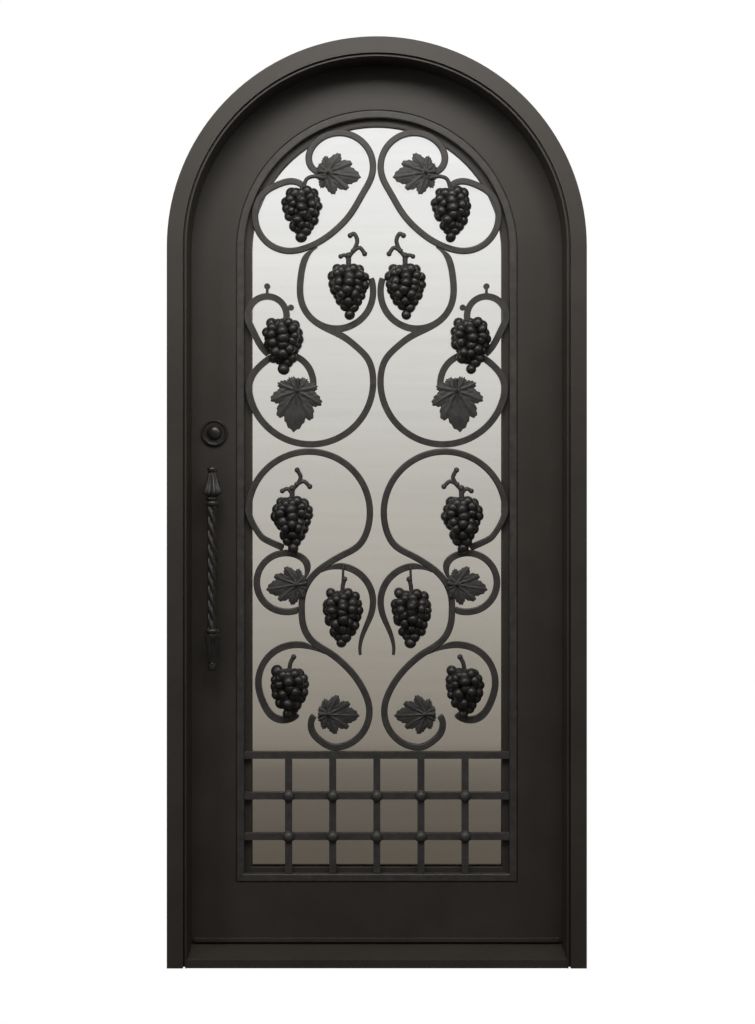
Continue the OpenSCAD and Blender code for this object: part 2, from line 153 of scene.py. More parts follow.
def makeWorld():
    world = bpy.data.worlds.new("studio")
    bpy.context.scene.world = world
    world.use_nodes = True
    t = world.node_tree
    t.nodes.clear()
    out = t.nodes.new("ShaderNodeOutputWorld")
    sky = t.nodes.new("ShaderNodeBackground")
    sky.inputs["Color"].default_value = (1, 1, 1, 1)
    path = t.nodes.new("ShaderNodeLightPath")
    seen = t.nodes.new("ShaderNodeMath")
    seen.operation = "MAXIMUM"
    strength = t.nodes.new("ShaderNodeMapRange")
    strength.inputs["To Min"].default_value = studio["sky"]
    strength.inputs["To Max"].default_value = 1.0
    t.links.new(path.outputs["Is Camera Ray"], seen.inputs[0])
    t.links.new(path.outputs["Is Transmission Ray"], seen.inputs[1])
    t.links.new(seen.outputs[0], strength.inputs["Value"])
    t.links.new(strength.outputs[0], sky.inputs["Strength"])
    t.links.new(sky.outputs[0], out.inputs["Surface"])
    bpy.context.scene.view_settings.view_transform = "Standard"


def meshObject(name, bm, smooth=False):
    mesh = bpy.data.meshes.new(name)
    bm.to_mesh(mesh)
    bm.free()
    if smooth:
        for p in mesh.polygons:
            p.use_smooth = True
    o = bpy.data.objects.new(name, mesh)
    bpy.context.scene.collection.objects.link(o)
    return o


# A merged copy of CAD nodes, to be given worked edges
def copiedMesh(names):
    bm = bmesh.new()
    for n in names:
        part = bmesh.new()
        part.from_mesh(nodes[n].data)
        bmesh.ops.remove_doubles(part, verts=part.verts, dist=0.00002)
        scratch = bpy.data.meshes.new("scratch")
        part.to_mesh(scratch)
        part.free()
        bm.from_mesh(scratch)
        bpy.data.meshes.remove(scratch)
    bmesh.ops.dissolve_limit(bm, angle_limit=math.radians(0.6), verts=bm.verts, edges=bm.edges)
    return bm


def roundEdges(o, width, segments=2, angle=35):
    bevel = o.modifiers.new("edges", "BEVEL")
    bevel.width = width
    bevel.segments = segments
    bevel.limit_method = "ANGLE"
    bevel.angle_limit = math.radians(angle)
    bakeModifiers(o)


# The evaluated mesh takes the place of the object's own, with no modifier left on it
def bakeModifiers(o):
    graph = bpy.context.evaluated_depsgraph_get()
    plain = bpy.data.meshes.new_from_object(o.evaluated_get(graph))
    o.modifiers.clear()
    o.data = plain


def smoothByAngle(o, degrees):
    mesh = o.data
    for p in mesh.polygons:
        p.use_smooth = True
    bm = bmesh.new()
    bm.from_mesh(mesh)
    for e in bm.edges:
        e.smooth = len(e.link_faces) == 2 and e.calc_face_angle(0) < math.radians(degrees)
    bm.to_mesh(mesh)
    bm.free()


# Broad faces keep their own direction and only the narrow worked edges turn
def evenShading(o):
    even = o.modifiers.new("shading", "WEIGHTED_NORMAL")
    even.mode = "FACE_AREA"
    even.weight = 100
    even.keep_sharp = True
    bakeModifiers(o)


# A worked copy of CAD nodes stands for them
def workedPiece(name, sources, material, body, width, segments=2):
    o = meshObject(name, copiedMesh(sources))
    roundEdges(o, width, segments)
    smoothByAngle(o, 32)
    evenShading(o)
    o.data.materials.clear()
    o.data.materials.append(material)
    return seat(o, body, sources)


def seat(o, body, replaced=()):
    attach(o, body)
    if replaced:
        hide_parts(*replaced)
    return o


# Adds a shape turned round local Z to bm. Rows are (height, radius, flute depth), flutes run along it
# and twist gives the angle that they have turned at a height.
def addTurned(bm, place, rows, steps=48, flutes=0, twist=None, sharp=False):
    rings = []
    for height, radius, depth in rows:
        turn = twist(height) if twist else 0
        ring = []
        for i in range(steps):
            a = 2 * math.pi * i / steps
            if sharp:
                share = 1 - abs(math.cos(flutes / 2 * (a - turn)))
            else:
                share = 0.5 - 0.5 * math.cos(flutes * (a - turn))
            r = radius * (1 - depth * share)
            ring.append(bm.verts.new(place @ Vector((r * math.cos(a), r * math.sin(a), height))))
        rings.append(ring)
    for low, high in zip(rings, rings[1:]):
        for i in range(steps):
            j = (i + 1) % steps
            bm.faces.new((low[i], low[j], high[j], high[i]))
    bm.faces.new(list(reversed(rings[0])))
    bm.faces.new(rings[-1])


# A smooth curve through the rows of a turned shape
def eased(rows, between=4):
    out = []
    for i in range(len(rows) - 1):
        a, b = Vector(rows[max(i - 1, 0)]), Vector(rows[i])
        c, d = Vector(rows[i + 1]), Vector(rows[min(i + 2, len(rows) - 1)])
        for k in range(between):
            t = k / between
            out.append(tuple(0.5 * (2 * b + (c - a) * t + (2 * a - 5 * b + 4 * c - d) * t * t
                                    + (3 * b - a - 3 * c + d) * t ** 3)))
    out.append(tuple(rows[-1]))
    return out


# A tapering tube through a few points, closed and rounded at its ends
def addTube(bm, points, radii, knob=1.12, steps=12, between=6):
    path = eased(points, between)
    widths = [r[0] for r in eased([(r, 0, 0) for r in radii], between)]
    rings = []
    side = Vector((0, 1, 0))
    for i, p in enumerate(path):
        ahead = Vector(path[min(i + 1, len(path) - 1)]) - Vector(path[max(i - 1, 0)])
        across = ahead.cross(side).normalized()
        rings.append([bm.verts.new(Vector(p) + widths[i] * (math.cos(a) * across + math.sin(a) * side))
                      for a in (2 * math.pi * k / steps for k in range(steps))])
    for low, high in zip(rings, rings[1:]):
        for i in range(steps):
            j = (i + 1) % steps
            bm.faces.new((low[i], low[j], high[j], high[i]))
    bm.faces.new(list(reversed(rings[0])))
    bm.faces.new(rings[-1])
    for end, width in ((path[0], widths[0]), (path[-1], widths[-1])):
        bmesh.ops.create_icosphere(bm, subdivisions=2, radius=width * knob,
                                   matrix=Matrix.Translation(end))


def outward(bm):
    bmesh.ops.remove_doubles(bm, verts=bm.verts, dist=0.000005)
    bmesh.ops.recalc_face_normals(bm, faces=bm.faces)


# Mottling, fine grain and a paler tone on what faces up, shared by every painted surface
def paintGroup():
    g = bpy.data.node_groups.new("handPaint", "ShaderNodeTree")
    face = g.interface
    sockets = (("Paint", "NodeSocketColor"), ("Worn", "NodeSocketColor"), ("Mottle", "NodeSocketFloat"),
               ("Grain", "NodeSocketFloat"), ("Rough Low", "NodeSocketFloat"),
               ("Rough High", "NodeSocketFloat"), ("Up Pale", "NodeSocketFloat"))
    for name, kind in sockets:
        face.new_socket(name, in_out="INPUT", socket_type=kind)
    for name, kind in (("Color", "NodeSocketColor"), ("Roughness", "NodeSocketFloat"),
                       ("Height", "NodeSocketFloat")):
        face.new_socket(name, in_out="OUTPUT", socket_type=kind)
    inputs = g.nodes.new("NodeGroupInput")
    outputs = g.nodes.new("NodeGroupOutput")
    place = g.nodes.new("ShaderNodeTexCoord")
    mottle = g.nodes.new("ShaderNodeTexNoise")
    mottle.inputs["Detail"].default_value = 6
    mottle.inputs["Roughness"].default_value = 0.62
    g.links.new(place.outputs["Object"], mottle.inputs["Vector"])
    g.links.new(inputs.outputs["Mottle"], mottle.inputs["Scale"])
    grain = g.nodes.new("ShaderNodeTexNoise")
    grain.inputs["Detail"].default_value = 3
    g.links.new(place.outputs["Object"], grain.inputs["Vector"])
    g.links.new(inputs.outputs["Grain"], grain.inputs["Scale"])
    spread = g.nodes.new("ShaderNodeMapRange")
    spread.inputs["From Min"].default_value = 0.36
    spread.inputs["From Max"].default_value = 0.68
    g.links.new(mottle.outputs["Fac"], spread.inputs["Value"])
    tone = g.nodes.new("ShaderNodeMix")
    tone.data_type = "RGBA"
    g.links.new(spread.outputs[0], tone.inputs[0])
    g.links.new(inputs.outputs["Paint"], tone.inputs[6])
    g.links.new(inputs.outputs["Worn"], tone.inputs[7])
    # faces that look up are lightened towards a pale warm grey
    normal = g.nodes.new("ShaderNodeNewGeometry")
    split = g.nodes.new("ShaderNodeSeparateXYZ")
    g.links.new(normal.outputs["Normal"], split.inputs[0])
    up = g.nodes.new("ShaderNodeMapRange")
    up.inputs["From Min"].default_value = 0.35
    up.inputs["From Max"].default_value = 1.0
    g.links.new(split.outputs["Z"], up.inputs["Value"])
    upShare = g.nodes.new("ShaderNodeMath")
    upShare.operation = "MULTIPLY"
    g.links.new(up.outputs[0], upShare.inputs[0])
    g.links.new(inputs.outputs["Up Pale"], upShare.inputs[1])
    upPaled = g.nodes.new("ShaderNodeMix")
    upPaled.data_type = "RGBA"
    upPaled.inputs[7].default_value = (0.20, 0.18, 0.16, 1)
    g.links.new(upShare.outputs[0], upPaled.inputs[0])
    g.links.new(tone.outputs[2], upPaled.inputs[6])
    g.links.new(upPaled.outputs[2], outputs.inputs["Color"])
    rough = g.nodes.new("ShaderNodeMapRange")
    g.links.new(mottle.outputs["Fac"], rough.inputs["Value"])
    g.links.new(inputs.outputs["Rough Low"], rough.inputs["To Min"])
    g.links.new(inputs.outputs["Rough High"], rough.inputs["To Max"])
    g.links.new(rough.outputs[0], outputs.inputs["Roughness"])
    relief = g.nodes.new("ShaderNodeMath")
    relief.operation = "MULTIPLY_ADD"
    relief.inputs[1].default_value = 0.45
    g.links.new(grain.outputs["Fac"], relief.inputs[0])
    g.links.new(mottle.outputs["Fac"], relief.inputs[2])
    g.links.new(relief.outputs[0], outputs.inputs["Height"])
    return g


handPaint = paintGroup()

finishes = {
    "bronzePaint": {"paint": (0.0345, 0.0288, 0.0232), "worn": (0.043, 0.0362, 0.0296), "mottle": 9,
                    "grain": 900, "rough": (0.46, 0.58), "upPale": 0.10, "relief": 0.00010, "coat": 0.03},
    "wroughtIron": {"paint": (0.040, 0.036, 0.033), "worn": (0.062, 0.056, 0.051), "mottle": 60,
                    "grain": 700, "rough": (0.38, 0.56), "upPale": 0.10, "relief": 0.00035, "coat": 0.05},
    "castGrape": {"paint": (0.012, 0.011, 0.010), "worn": (0.024, 0.021, 0.019), "mottle": 75,
                  "grain": 500, "rough": (0.36, 0.50), "upPale": 0.05, "relief": 0.0002, "coat": 0.12},
    "castLeaf": {"paint": (0.036, 0.033, 0.031), "worn": (0.056, 0.051, 0.047), "mottle": 90,
                 "grain": 600, "rough": (0.46, 0.62), "upPale": 0.06, "relief": 0.0003, "coat": 0.0},
    "hardwareIron": {"paint": (0.018, 0.0155, 0.0135), "worn": (0.034, 0.030, 0.027), "mottle": 70,
                     "grain": 700, "rough": (0.25, 0.38), "upPale": 0.05, "relief": 0.0002, "coat": 0.3},
}


def paintedMetal(name):
    s = finishes[name]
    m = bpy.data.materials.new(name)
    m.use_nodes = True
    t = m.node_tree
    bsdf = t.nodes["Principled BSDF"]
    paint = t.nodes.new("ShaderNodeGroup")
    paint.node_tree = handPaint
    paint.inputs["Paint"].default_value = (*s["paint"], 1)
    paint.inputs["Worn"].default_value = (*s["worn"], 1)
    paint.inputs["Mottle"].default_value = s["mottle"]
    paint.inputs["Grain"].default_value = s["grain"]
    paint.inputs["Rough Low"].default_value, paint.inputs["Rough High"].default_value = s["rough"]
    paint.inputs["Up Pale"].default_value = s["upPale"]
    bump = t.nodes.new("ShaderNodeBump")
    bump.inputs["Distance"].default_value = s["relief"]
    bump.inputs["Strength"].default_value = 0.8
    t.links.new(paint.outputs["Color"], bsdf.inputs["Base Color"])
    t.links.new(paint.outputs["Roughness"], bsdf.inputs["Roughness"])
    t.links.new(paint.outputs["Height"], bump.inputs["Height"])
    t.links.new(bump.outputs["Normal"], bsdf.inputs["Normal"])
    bsdf.inputs["Coat Weight"].default_value = s["coat"]
    bsdf.inputs["Coat Roughness"].default_value = 0.28
    return m


glassSettings = {
    # (height over the sill's underside in metres, grey): a painted reflection, pale sky above, dark ground
    # below
    "reflectionGreys": ((0.18, 0.100), (0.23, 0.108), (0.33, 0.122), (0.41, 0.147), (0.48, 0.226), (0.70, 0.33),
              (0.90, 0.43), (1.05, 0.47), (1.35, 0.64), (1.62, 0.79), (1.95, 0.89)),
}


# Sealed glass whose colour is a painted reflection, a soft picture of pale sky over dark ground
def glassMaterial(s):
    m = bpy.data.materials.new("reflectionGlass")
    m.use_nodes = True
    t = m.node_tree
    bsdf = t.nodes["Principled BSDF"]
    place = t.nodes.new("ShaderNodeTexCoord")
    split = t.nodes.new("ShaderNodeSeparateXYZ")
    t.links.new(place.outputs["Object"], split.inputs[0])
    low, high = s["reflectionGreys"][0][0], s["reflectionGreys"][-1][0]
    height = t.nodes.new("ShaderNodeMapRange")
    height.inputs["From Min"].default_value = low
    height.inputs["From Max"].default_value = high
    t.links.new(split.outputs["Z"], height.inputs["Value"])
    ramp = t.nodes.new("ShaderNodeValToRGB")
    ramp.color_ramp.interpolation = "LINEAR"
    while len(ramp.color_ramp.elements) < len(s["reflectionGreys"]):
        ramp.color_ramp.elements.new(0.5)
    for e, (z, grey) in zip(ramp.color_ramp.elements, s["reflectionGreys"]):
        e.position = (z - low) / (high - low)
        # the painted reflection of the ground turns warmer towards the bottom
        fall = 1 - e.position
        e.color = (grey, grey * (1 - 0.15 * fall ** 2), grey * (1 - 0.33 * fall ** 1.4), 1)
    t.links.new(height.outputs[0], ramp.inputs[0])
    # faint level streaks in the painted reflection
    stretch = t.nodes.new("ShaderNodeMapping")
    stretch.inputs["Scale"].default_value = (1.2, 1, 26)
    streak = t.nodes.new("ShaderNodeTexNoise")
    streak.inputs["Scale"].default_value = 1.6
    streak.inputs["Detail"].default_value = 3
    t.links.new(place.outputs["Object"], stretch.inputs[0])
    t.links.new(stretch.outputs[0], streak.inputs["Vector"])
    lift = t.nodes.new("ShaderNodeMapRange")
    lift.inputs["From Min"].default_value = 0.3
    lift.inputs["From Max"].default_value = 0.7
    lift.inputs["To Min"].default_value = 0.975
    lift.inputs["To Max"].default_value = 1.025
    t.links.new(streak.outputs["Fac"], lift.inputs["Value"])
    reflectionPicture = t.nodes.new("ShaderNodeMix")
    reflectionPicture.data_type = "RGBA"
    reflectionPicture.blend_type = "MULTIPLY"
    reflectionPicture.inputs[0].default_value = 1
    t.links.new(ramp.outputs[0], reflectionPicture.inputs[6])
    t.links.new(lift.outputs[0], reflectionPicture.inputs[7])
    t.links.new(reflectionPicture.outputs[2], bsdf.inputs["Base Color"])
    bsdf.inputs["Roughness"].default_value = 0.02
    bsdf.inputs["IOR"].default_value = 1.45
    bsdf.inputs["Transmission Weight"].default_value = 1.0
    return m


def plainMaterial(name, colour, rough, metallic, scale, relief):
    m = bpy.data.materials.new(name)
    m.use_nodes = True
    t = m.node_tree
    bsdf = t.nodes["Principled BSDF"]
    bsdf.inputs["Metallic"].default_value = metallic
    place = t.nodes.new("ShaderNodeTexCoord")
    grain = t.nodes.new("ShaderNodeTexNoise")
    grain.inputs["Scale"].default_value = scale
    t.links.new(place.outputs["Object"], grain.inputs["Vector"])
    shade = t.nodes.new("ShaderNodeMix")
    shade.data_type = "RGBA"
    shade.inputs[6].default_value = (*(c * 0.8 for c in colour), 1)
    shade.inputs[7].default_value = (*(c * 1.2 for c in colour), 1)
    t.links.new(grain.outputs["Fac"], shade.inputs[0])
    t.links.new(shade.outputs[2], bsdf.inputs["Base Color"])
    worn = t.nodes.new("ShaderNodeMapRange")
    worn.inputs["To Min"].default_value = rough - 0.08
    worn.inputs["To Max"].default_value = rough + 0.08
    t.links.new(grain.outputs["Fac"], worn.inputs["Value"])
    t.links.new(worn.outputs[0], bsdf.inputs["Roughness"])
    bump = t.nodes.new("ShaderNodeBump")
    bump.inputs["Distance"].default_value = relief
    t.links.new(grain.outputs["Fac"], bump.inputs["Height"])
    t.links.new(bump.outputs["Normal"], bsdf.inputs["Normal"])
    return m


bronzePaint = paintedMetal("bronzePaint")
wroughtIron = paintedMetal("wroughtIron")
castGrape = paintedMetal("castGrape")
castLeaf = paintedMetal("castLeaf")
hardwareIron = paintedMetal("hardwareIron")
# glass whose colour is a painted reflection of pale sky over dark ground
reflectionGlass = glassMaterial(glassSettings)
sealRubber = plainMaterial("sealRubber", (0.012, 0.012, 0.012), 0.75, 0, 300, 0.0002)
lockSteel = plainMaterial("lockSteel", (0.30, 0.28, 0.26), 0.38, 1, 220, 0.0001)
print("stage: finishes made")


# A CAD piece that shows little keeps its shape and takes only a material
def onlyMaterial(node, material):
    nodes[node].data.materials.clear()
    nodes[node].data.materials.append(material)


# Width of the worked edges in metres
edgeWork = {"frame": 0.0014, "sheet": 0.0009, "section": 0.0016, "bar": 0.0034, "surround": 0.0030,
            "lattice": 0.0024, "hardware": 0.0006}


# The jambs and the round head are one bent section, so their meeting faces go before the edges are worked
def makeFrame(w):
    names = ["frame_jamb_left", "frame_jamb_right", "frame_head_arch"]
    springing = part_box("frame_head_arch")[0].z
    bm = copiedMesh(names)
    meeting = [f for f in bm.faces if all(abs(v.co.z - springing) < 0.00002 for v in f.verts)]
    bmesh.ops.delete(bm, geom=meeting, context="FACES_ONLY")
    bmesh.ops.remove_doubles(bm, verts=bm.verts, dist=0.00005)
    bmesh.ops.dissolve_limit(bm, angle_limit=math.radians(0.3), verts=bm.verts, edges=bm.edges)
    o = meshObject("frameSection", bm)
    roundEdges(o, w["frame"], 2)
    smoothByAngle(o, 32)
    evenShading(o)
    o.data.materials.append(bronzePaint)
    seat(o, "frame", names)


def makeWorkedPieces(w):
    workedPiece("sill", ["sill_threshold"], bronzePaint, "frame", w["section"])
    workedPiece("outsideSkin", ["leaf_skin_outside"], bronzePaint, "leaf", w["sheet"])
    workedPiece("insideSkin", ["leaf_skin_inside"], bronzePaint, "leaf", w["sheet"])
    workedPiece("dripBar", ["drip_bar"], bronzePaint, "leaf", w["section"])
    workedPiece("glassFrame", ["glass_frame"], bronzePaint, "leaf", w["section"])
    workedPiece("glazingBead", ["glazing_bead"], bronzePaint, "leaf", w["sheet"])
    workedPiece("surround", ["grille_surround"], wroughtIron, "leaf", w["surround"], 3)
    workedPiece("lattice", ["lattice_grid"], wroughtIron, "leaf", w["lattice"], 3)
    for kind in ("crown", "middle", "side", "waist", "heart", "ring", "foot"):
        for side in sides:
            name = f"{kind}_scroll_{side}"
            if kind == "side":
                workedPiece(f"{kind}Scroll_{side}", [name], wroughtIron, "leaf", w["bar"], 3)
            else:
                forgedBar(f"{kind}Scroll_{side}", name, w["bar"])
    for name in ("deadbolt_rosette", "deadbolt_cylinder", "deadbolt_thumb_turn"):
        workedPiece(name.replace("deadbolt_", "lock_"), [name], hardwareIron, "leaf",
                    w["hardware"])
    for name in ("leaf_stile_latch", "leaf_stile_hinge", "leaf_head_rail", "leaf_bottom_rail"):
        onlyMaterial(name, bronzePaint)
    for side in ("frame", "leaf"):
        for place in ("low", "mid", "top"):
            onlyMaterial(f"hinge_{side}_{place}", hardwareIron)
    onlyMaterial("weatherstrip", sealRubber)
    onlyMaterial("strike_plate", lockSteel)
    onlyMaterial("deadbolt_faceplate", lockSteel)
    # the pane takes the glass whose colour is a painted reflection
    onlyMaterial("glass_pane", reflectionGlass)


# The front outline of a flat bar as closed loops of (x, z)
def barLoops(name):
    bm = copiedMesh([name])
    front = min(v.co.y for v in bm.verts)
    inOrder = [f for f in bm.faces if all(abs(v.co.y - front) < 0.00002 for v in f.verts)]
    caps = set(inOrder)
    after = {}
    for f in inOrder:      # a set has no fixed order, and the outline starts at the first face
        for loop in f.loops:
            if sum(other in caps for other in loop.edge.link_faces) == 1:
                after[loop.vert] = loop.link_loop_next.vert
    loops = []
    while after:
        first = v = next(iter(after))
        loop = []
        while v in after:
            loop.append((v.co.x, v.co.z))
            v = after.pop(v)
        loops.append(loop if v == first else [])
    bm.free()
    return loops


def evenlySpaced(loop, step):
    points = [Vector(p) for p in loop]
    lengths = [(points[(i + 1) % len(points)] - p).length for i, p in enumerate(points)]
    count = max(24, round(sum(lengths) / step))
    gap = sum(lengths) / count
    out, i, gone = [], 0, 0.0
    for k in range(count):
        while gone + lengths[i] < k * gap and i < len(points) - 1:
            gone += lengths[i]
            i += 1
        share = (k * gap - gone) / lengths[i] if lengths[i] else 0
        out.append(points[i].lerp(points[(i + 1) % len(points)], min(share, 1)))
    return out


barSettings = {
    "step": 0.004,        # between the points of an outline
    "passes": 22,
    "keep": 0.006,        # length by an end that stays as it is
    "ease": 0.024,        # length over which the easing grows after that
    "tip": 62,            # turn in degrees that marks an end
    "window": 3,          # points on each side that the turn is read over
    # where a bar is drawn in: (place, reach, shift), on the left half
    "drawn": {"waist": (((-0.292, 0.955), 0.070, (0.013, 0.004)),
                        ((-0.238, 0.938), 0.036, (0.020, -0.003)))},
}


# A forged bar bends evenly: its outline is eased everywhere but at its ends, which stay where they join
def easedOutline(loop, s):
    points = evenlySpaced(loop, s["step"])
    n = len(points)
    w = s["window"]
    tips = [i for i in range(n) if (points[i] - points[i - w]).angle(points[(i + w) % n] - points[i], 0)
            > math.radians(s["tip"])]
    weight = []
    for i in range(n):
        away = min((min(abs(i - t), n - abs(i - t)) for t in tips), default=n) * s["step"]
        weight.append(0.5 * min(1, max(0, (away - s["keep"]) / s["ease"])))
    for _ in range(s["passes"]):
        points = [p.lerp((points[i - 1] + points[(i + 1) % n]) / 2, weight[i]) for i, p in enumerate(points)]
    return points


def forgedBar(name, source, width):
    loops = barLoops(source)
    if len(loops) != 1 or len(loops[0]) < 8:
        print(f"stage: {source} kept its own outline ({len(loops)} loops)")
        return workedPiece(name, [source], wroughtIron, "leaf", width, 3)
    lo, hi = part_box(source)
    outline = easedOutline(loops[0], barSettings)
    mirrored = -1 if source.endswith("right") else 1
    for (x, z), reach, (dx, dz) in barSettings["drawn"].get(source.split("_")[0], ()):
        for q in outline:
            near = max(0, 1 - (q - Vector((mirrored * x, z))).length / reach)
            q += Vector((mirrored * dx, dz)) * (near * near * (3 - 2 * near))
    bm = bmesh.new()
    front = [bm.verts.new((p.x, lo.y, p.y)) for p in outline]
    back = [bm.verts.new((p.x, hi.y, p.y)) for p in outline]
    bm.faces.new(front)
    bm.faces.new(list(reversed(back)))
    for i in range(len(front)):
        j = (i + 1) % len(front)
        bm.faces.new((front[j], front[i], back[i], back[j]))
    bmesh.ops.recalc_face_normals(bm, faces=bm.faces)
    o = meshObject(name, bm)
    roundEdges(o, width, 3, 60)
    smoothByAngle(o, 40)
    evenShading(o)
    o.data.materials.append(wroughtIron)
    return seat(o, "leaf", [source])


grapeSettings = {
    "berry": 0.0130,       # radius of a berry
    "sizeSpread": 0.14,
    "rows": 8,
    "depth": 0.034,        # how far the bunch bellies out
    "shoulder": 0.74,      # width of the top row, as a share of the widest
    "widen": 1.4,          # how fast the rows under it grow
    "taper": (0.2, 1.6, 1.43),    # where the taper starts, its power and its strength
    "jitter": 0.26,        # how far a berry strays, as a share of its radius
    "hanging": 4,          # the heart's bunch hangs from the bar over it
    "knob": 1.32,          # swelling at a tendril's end
    "seed": 11,
}


# Each separate solid of a node as its corner points
def looseParts(name):
    bm = copiedMesh([name])
    todo = set(bm.verts)
    parts = []
    while todo:
        stack = [todo.pop()]
        part = []
        while stack:
            v = stack.pop()
            part.append(v.co.copy())
            for e in v.link_edges:
                other = e.other_vert(v)
                if other in todo:
                    todo.discard(other)
                    stack.append(other)
        parts.append(part)
    bm.free()
    return sorted(parts, key=lambda p: -max(c.z for c in p))


# A tree that sets a berry on every point, sized at random about its radius
def berryTree():
    g = bpy.data.node_groups.new("berries", "GeometryNodeTree")
    face = g.interface
    face.new_socket("Points", in_out="INPUT", socket_type="NodeSocketGeometry")
    for name in ("Radius", "Spread"):
        face.new_socket(name, in_out="INPUT", socket_type="NodeSocketFloat")
    face.new_socket("Seed", in_out="INPUT", socket_type="NodeSocketInt")
    face.new_socket("Finish", in_out="INPUT", socket_type="NodeSocketMaterial")
    face.new_socket("Mesh", in_out="OUTPUT", socket_type="NodeSocketGeometry")
    inputs = g.nodes.new("NodeGroupInput")
    outputs = g.nodes.new("NodeGroupOutput")
    ball = g.nodes.new("GeometryNodeMeshUVSphere")
    ball.inputs["Segments"].default_value = 16
    ball.inputs["Rings"].default_value = 10
    g.links.new(inputs.outputs["Radius"], ball.inputs["Radius"])
    smooth = g.nodes.new("GeometryNodeSetShadeSmooth")
    g.links.new(ball.outputs["Mesh"], smooth.inputs[0])
    low = g.nodes.new("ShaderNodeMath")
    low.operation = "SUBTRACT"
    low.inputs[0].default_value = 1
    g.links.new(inputs.outputs["Spread"], low.inputs[1])
    high = g.nodes.new("ShaderNodeMath")
    high.operation = "ADD"
    high.inputs[0].default_value = 1
    g.links.new(inputs.outputs["Spread"], high.inputs[1])
    size = g.nodes.new("FunctionNodeRandomValue")
    size.data_type = "FLOAT_VECTOR"
    g.links.new(low.outputs[0], size.inputs[0])
    g.links.new(high.outputs[0], size.inputs[1])
    turn = g.nodes.new("FunctionNodeRandomValue")
    turn.data_type = "FLOAT_VECTOR"
    turn.inputs[1].default_value = (6.283, 6.283, 6.283)
    seeds = [n.inputs["Seed"] for n in (size, turn)]
    for s in seeds:
        g.links.new(inputs.outputs["Seed"], s)
    setOut = g.nodes.new("GeometryNodeInstanceOnPoints")
    g.links.new(inputs.outputs["Points"], setOut.inputs["Points"])
    g.links.new(smooth.outputs[0], setOut.inputs["Instance"])
    g.links.new(size.outputs[0], setOut.inputs["Scale"])
    g.links.new(turn.outputs[0], setOut.inputs["Rotation"])
    real = g.nodes.new("GeometryNodeRealizeInstances")
    g.links.new(setOut.outputs[0], real.inputs[0])
    finish = g.nodes.new("GeometryNodeSetMaterial")
    g.links.new(real.outputs[0], finish.inputs["Geometry"])
    g.links.new(inputs.outputs["Finish"], finish.inputs["Material"])
    g.links.new(finish.outputs[0], outputs.inputs["Mesh"])
    return g


# Berries stand in rows round the front of a bunch that tapers to one berry at its tip
def bunchPoints(part, s, shuffle):
    midX = (min(c.x for c in part) + max(c.x for c in part)) / 2
    body = [c for c in part if abs(c.x - midX) > 0.005]
    halfW = (max(c.x for c in body) - min(c.x for c in body)) / 2
    top = max(c.z for c in body)
    low = min(c.z for c in part)
    back = max(c.y for c in part)
    r = s["berry"]
    start, power, strength = s["taper"]
    points = []
    for k in range(s["rows"]):
        f = k / (s["rows"] - 1)
        z = top - r * 1.05 - (top - low - 2.0 * r) * f
        tapered = 1 - max(0, f - start) ** power * strength
        wide = (halfW - r) * min(1, s["shoulder"] + s["widen"] * f) * tapered
        wide = max(wide, 0)
        belly = s["depth"] * wide / (halfW - r) * 0.86
        count = max(1, round((wide * 2.75 + r) / (r * 1.62)))
        for i in range(count):
            a = math.pi * (i + (0.5 if count == 1 else 0)) / max(count - 1, 1)
            a = a if count > 1 else math.pi / 2
            jitter = Vector((shuffle(), shuffle(), shuffle())) * r * s["jitter"]
            points.append(Vector((midX + wide * math.cos(a), back - r * 0.72 - belly * math.sin(a), z
                                  + (0.2 * r if i % 2 else -0.2 * r))) + jitter)
        if wide > 1.3 * r:        # a second layer closes the middle
            for i in range(2):
                points.append(Vector((midX + (i - 0.5) * wide, back - r * 0.7 - belly * 0.35, z)))
    for drop, out in ((1.25, 0.75), (2.2, 0.95), (0.95, 0.35)):
        points.append(Vector((midX + shuffle() * r * 0.2, back - r * 0.7 - s["depth"] * 0.8 * out,
                              top - r * drop)))
    return points, Vector((midX, back, top)), max(c.z for c in part)


# Tendrils over a bunch, each a line of (across, up) in metres from its top and a radius, on the left half
tendrils = {
    0: [([(0.047, 0.024), (0.028, 0.027), (0.010, 0.020), (0.002, -0.004)], 0.0046)],
    1: [([(0, -0.008), (0, 0.014), (0.013, 0.034), (0.020, 0.054), (0.013, 0.070), (0.004, 0.066)],
         0.0049),
        ([(0.011, 0.031), (0.026, 0.038), (0.037, 0.024)], 0.0048),
        ([(0.001, 0.010), (-0.008, 0.021), (-0.018, 0.018)], 0.0044), ([(0, -0.008), (0, 0.020)], 0.0060)],
    3: [([(0, -0.008), (0.002, 0.014), (0.013, 0.028), (0.020, 0.044), (0.012, 0.060)], 0.0049),
        ([(0.011, 0.027), (0.027, 0.034), (0.041, 0.022)], 0.0048),
        ([(0.000, 0.006), (-0.010, 0.017), (-0.022, 0.012)], 0.0046),
        ([(0, -0.008), (0.001, 0.018)], 0.0060)],
    4: [([(0, -0.006), (0.001, 0.010), (0.005, 0.024)], 0.0050)],
    5: [([(0, -0.006), (0.003, 0.010), (0.010, 0.023)], 0.0050)],
}


# Turns an object's points into balls and leaves a plain mesh
def growBalls(o, tree, radius, spread, seed, material):
    sockets = {i.name: i.identifier for i in tree.interface.items_tree
               if i.item_type == "SOCKET" and i.in_out == "INPUT"}
    grow = o.modifiers.new("berries", "NODES")
    grow.node_group = tree
    grow[sockets["Radius"]] = radius
    grow[sockets["Spread"]] = spread
    grow[sockets["Seed"]] = seed
    grow[sockets["Finish"]] = material
    bakeModifiers(o)


# Places and size in metres, with how far each ball is sunk in behind the bars' front face
latticeBalls = {"radius": 0.0145, "columns": 5, "pitch": 0.10165, "rows": (0.2675, 0.361), "sunk": 0.003,
                "halfBar": 0.006}


